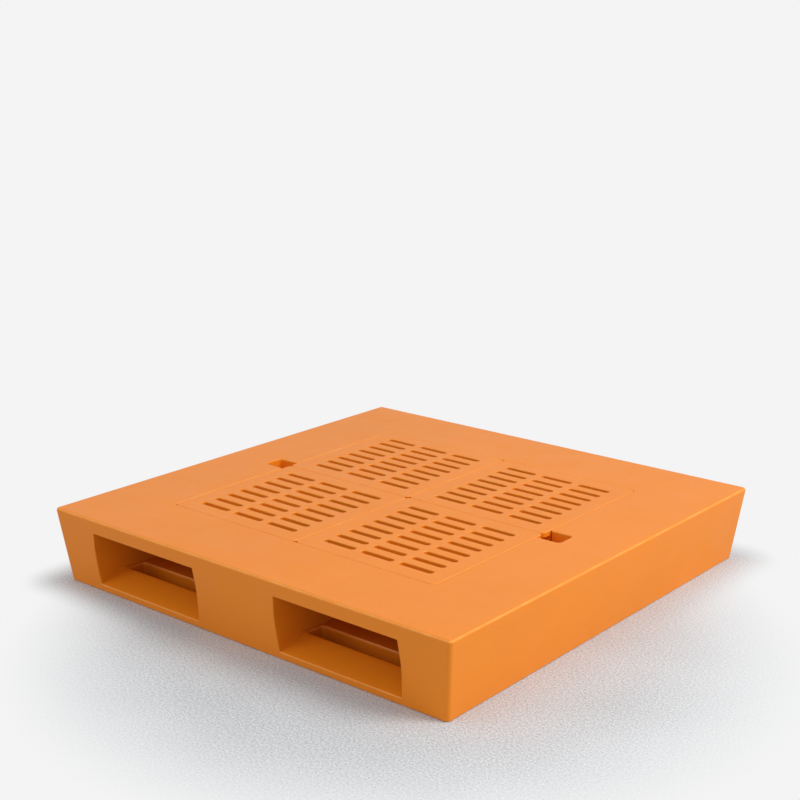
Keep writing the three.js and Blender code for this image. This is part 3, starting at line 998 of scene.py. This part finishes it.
# %% Black polypropylene of the fitting, nut and plug
black_polypropylene = moulded_finish(
    "black_polypropylene", colour=(0.016, 0.016, 0.018), wear_and_highlight_colour=(0.07, 0.07, 0.075),
    gloss=(0.3, 0.44), pebbles=1500, grain_depth=0.03 * MM, wave_depth=0.05 * MM,
    scuffs_and_highlights=0.6, specular=0.5)
give(black_polypropylene, fitting, locknut, plug)

# %% Black rubber of the gaskets
black_rubber = moulded_finish(
    "black_rubber", colour=(0.012, 0.012, 0.012), wear_and_highlight_colour=(0.05, 0.05, 0.05),
    gloss=(0.7, 0.85), pebbles=2400, grain_depth=0.02 * MM, wave_depth=0.03 * MM,
    scuffs_and_highlights=0.4, specular=0.35)
give(black_rubber, body_gasket, plug_gasket)

# %% [markdown]
# ## Floor finish
# The floor is pale, trowelled concrete with a sandy grain. It keeps its darker concrete tone in a
# patch in front of the pallet and in a narrow band along all four sides, as painted shade round
# the pallet on top of the shadows that are rendered there. Elsewhere it fades into a glowing
# backdrop white, so that no horizon shows, as with a roll of white paper in a studio. Only the
# camera sees that fade, and the pallet is lit by the whole floor.

# %% Concrete that fades to white
concrete = bpy.data.materials.new("pale_concrete")
concrete.use_nodes = True
tree = concrete.node_tree
make = node_maker(tree)
shader = tree.nodes["Principled BSDF"]
shader.inputs["Roughness"].default_value = 0.8
shader.inputs["Specular IOR Level"].default_value = 0.25
tone = make("ShaderNodeGroup", {}, node_tree=drift_group)
# The grey is a little blue, which cancels the orange light that the pallet bounces onto the
# floor.
tone.inputs["Color"].default_value = (0.555, 0.574, 0.588, 1)
tone.inputs["Drift"].default_value = 0.10
tone.inputs["Speckle"].default_value = 0.75
tone.inputs["Specks per metre"].default_value = 210
tree.links.new(tone.outputs["Color"], shader.inputs["Base Color"])
sand = make("ShaderNodeGroup", {}, node_tree=grain_group)
sand.inputs["Pebbles per metre"].default_value = 380
sandy = make("ShaderNodeBump", {"Height": sand.outputs["Height"], "Strength": 1.0,
                                "Distance": 0.6 * MM})
tree.links.new(sandy.outputs[0], shader.inputs["Normal"])
place = make("ShaderNodeTexCoord")
# The patch and the side band keep the darker tone as painted shade round the pallet.
shade_patch_centre = (0.25, -0.30, 0)
away = make("ShaderNodeVectorMath", {0: place.outputs["Object"], 1: shade_patch_centre},
            operation="DISTANCE")
off_shade_patch = make("ShaderNodeMapRange", {"Value": away.outputs["Value"], "From Min": 0.50,
                                        "From Max": 0.92}, interpolation_type="SMOOTHSTEP")
folded = make("ShaderNodeVectorMath", {0: place.outputs["Object"]}, operation="ABSOLUTE")
past_base = make("ShaderNodeVectorMath", {0: folded.outputs[0], 1: (half_base, half_base, 0)},
                 operation="SUBTRACT")
outside = make("ShaderNodeVectorMath", {0: past_base.outputs[0], 1: (0, 0, 0)},
               operation="MAXIMUM")
gap = make("ShaderNodeVectorMath", {0: outside.outputs[0]}, operation="LENGTH")
off_sides = make("ShaderNodeMapRange", {"Value": gap.outputs["Value"], "From Min": 0.0,
                                        "From Max": 0.13}, interpolation_type="SMOOTHSTEP")
faded = make("ShaderNodeMath", {0: off_shade_patch.outputs[0], 1: off_sides.outputs[0]},
             operation="MULTIPLY")
ray = make("ShaderNodeLightPath")
fade = make("ShaderNodeMath", {0: faded.outputs[0], 1: ray.outputs["Is Camera Ray"]},
            operation="MULTIPLY")
white = make("ShaderNodeEmission", {"Color": backdrop_white})
surface = make("ShaderNodeMixShader", {0: fade.outputs[0], 1: shader.outputs[0],
                                       2: white.outputs[0]})
tree.links.new(surface.outputs[0], tree.nodes["Material Output"].inputs["Surface"])
floor.data.materials.append(concrete)
print("floor", concrete.name)
